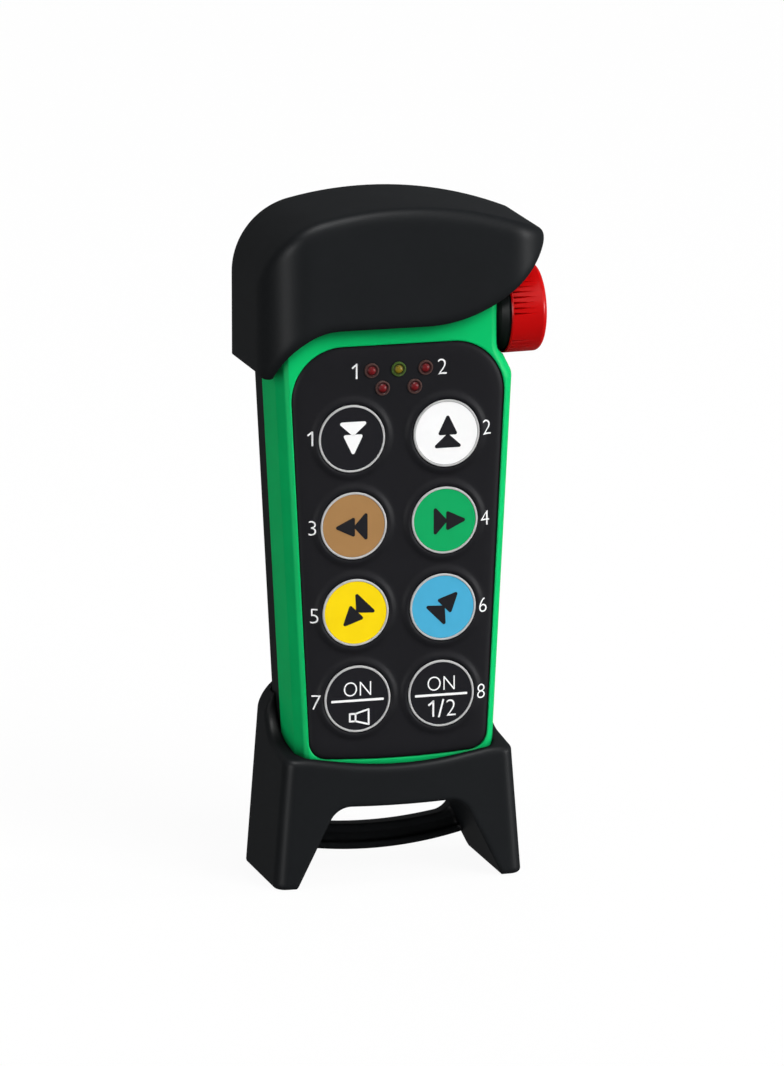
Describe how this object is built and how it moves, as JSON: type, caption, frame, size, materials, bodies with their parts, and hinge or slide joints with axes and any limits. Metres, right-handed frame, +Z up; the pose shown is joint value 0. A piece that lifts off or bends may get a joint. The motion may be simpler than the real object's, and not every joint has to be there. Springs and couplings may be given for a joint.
{
  "type": "radio remote control",
  "caption": "Hand-held radio remote control: tapered housing with a keypad of round push buttons, a red emergency stop on one side and rubber bumpers at both ends, one with a strap bar.",
  "frame": {"origin": "on the floor plane, under the middle of the bounding box, with the part standing on the two legs of its bottom bumper", "axes": "+Z up from the legs to the top bumper, +Y from the keypad to the rear cover, +X towards the emergency stop"},
  "size_m": [0.1002, 0.048, 0.2335],
  "materials": {
    "green_shell": "satin moulded plastic",
    "black_shell": "fine-textured moulded plastic",
    "bumper_rubber": "matt moulded rubber",
    "keypad_skin": "matt silicone",
    "seal_rubber": "matt",
    "button_body": "matt",
    "label_black": "satin print",
    "label_white": "satin print",
    "label_brown": "satin print",
    "label_green": "satin print",
    "label_yellow": "satin print",
    "label_blue": "satin print",
    "label_ring": "satin",
    "lens_red": "glossy lens",
    "lens_green": "glossy lens",
    "clear_resin": "clear resin",
    "estop_red": "satin moulded plastic",
    "black_part": "matt moulded plastic",
    "board": "solder mask",
    "shield_metal": "tinned sheet",
    "contact_metal": "plated spring sheet",
    "battery_wrap": "moulded case",
    "steel": "zinc plated"
  },
  "bodies": {
    "housing": {"antenna": "board", "battery_contacts": "contact_metal", "battery_cover": "black_shell", "battery_cover_screws": "steel", "battery_pack": "battery_wrap", "battery_seal": "seal_rubber", "board_screws": "steel", "bottom_bumper": "bumper_rubber", "estop_collar": "black_part", "estop_contact_block": "black_part", "estop_nut": "black_part", "estop_seal": "seal_rubber", "estop_spring": "steel", "front_shell": "green_shell", "key_switches": "black_part", "keypad_panel": "keypad_skin", "led_emitters": "clear_resin", "led_lens_1": "lens_red", "led_lens_2": "lens_green", "led_lens_3": "lens_red", "led_lens_4": "lens_red", "led_lens_5": "lens_red", "main_board": "board", "radio_module": "shield_metal", "rear_shell": "black_shell", "shell_screws": "steel", "shell_seal": "seal_rubber", "top_bumper": "bumper_rubber"},
    "estop_stem": {"estop_stem": "black_part"},
    "estop_head": {"estop_head": "estop_red"},
    "button_1": {"button_cap_1": "button_body", "button_label_1": "label_black", "button_ring_1": "label_ring"},
    "button_2": {"button_cap_2": "button_body", "button_label_2": "label_white", "button_ring_2": "label_ring"},
    "button_3": {"button_cap_3": "button_body", "button_label_3": "label_brown", "button_ring_3": "label_ring"},
    "button_4": {"button_cap_4": "button_body", "button_label_4": "label_green", "button_ring_4": "label_ring"},
    "button_5": {"button_cap_5": "button_body", "button_label_5": "label_yellow", "button_ring_5": "label_ring"},
    "button_6": {"button_cap_6": "button_body", "button_label_6": "label_blue", "button_ring_6": "label_ring"},
    "button_7": {"button_cap_7": "button_body", "button_label_7": "label_black", "button_ring_7": "label_ring"},
    "button_8": {"button_cap_8": "button_body", "button_label_8": "label_black", "button_ring_8": "label_ring"}
  },
  "joints": [
    {"name": "button_1_press", "type": "slide", "parent": "housing", "child": "button_1", "axis": [0, 1, 0], "range_m": [0, 0.0016], "stiffness_N_per_m": 800},
    {"name": "button_2_press", "type": "slide", "parent": "housing", "child": "button_2", "axis": [0, 1, 0], "range_m": [0, 0.0016], "stiffness_N_per_m": 800},
    {"name": "button_3_press", "type": "slide", "parent": "housing", "child": "button_3", "axis": [0, 1, 0], "range_m": [0, 0.0016], "stiffness_N_per_m": 800},
    {"name": "button_4_press", "type": "slide", "parent": "housing", "child": "button_4", "axis": [0, 1, 0], "range_m": [0, 0.0016], "stiffness_N_per_m": 800},
    {"name": "button_5_press", "type": "slide", "parent": "housing", "child": "button_5", "axis": [0, 1, 0], "range_m": [0, 0.0016], "stiffness_N_per_m": 800},
    {"name": "button_6_press", "type": "slide", "parent": "housing", "child": "button_6", "axis": [0, 1, 0], "range_m": [0, 0.0016], "stiffness_N_per_m": 800},
    {"name": "button_7_press", "type": "slide", "parent": "housing", "child": "button_7", "axis": [0, 1, 0], "range_m": [0, 0.0016], "stiffness_N_per_m": 800},
    {"name": "button_8_press", "type": "slide", "parent": "housing", "child": "button_8", "axis": [0, 1, 0], "range_m": [0, 0.0016], "stiffness_N_per_m": 800},
    {"name": "estop_press", "type": "slide", "parent": "housing", "child": "estop_stem", "axis": [-1, 0, 0], "range_m": [0, 0.0034], "stiffness_N_per_m": 1500, "deforming": ["estop_spring"]},
    {"name": "estop_twist", "type": "hinge", "parent": "estop_stem", "child": "estop_head", "pos_m": [0.04315, -0.0024, 0.1937], "axis": [-1, 0, 0], "range_deg": [0, 45], "stiffness_Nm_per_rad": 0.05}
  ]
}
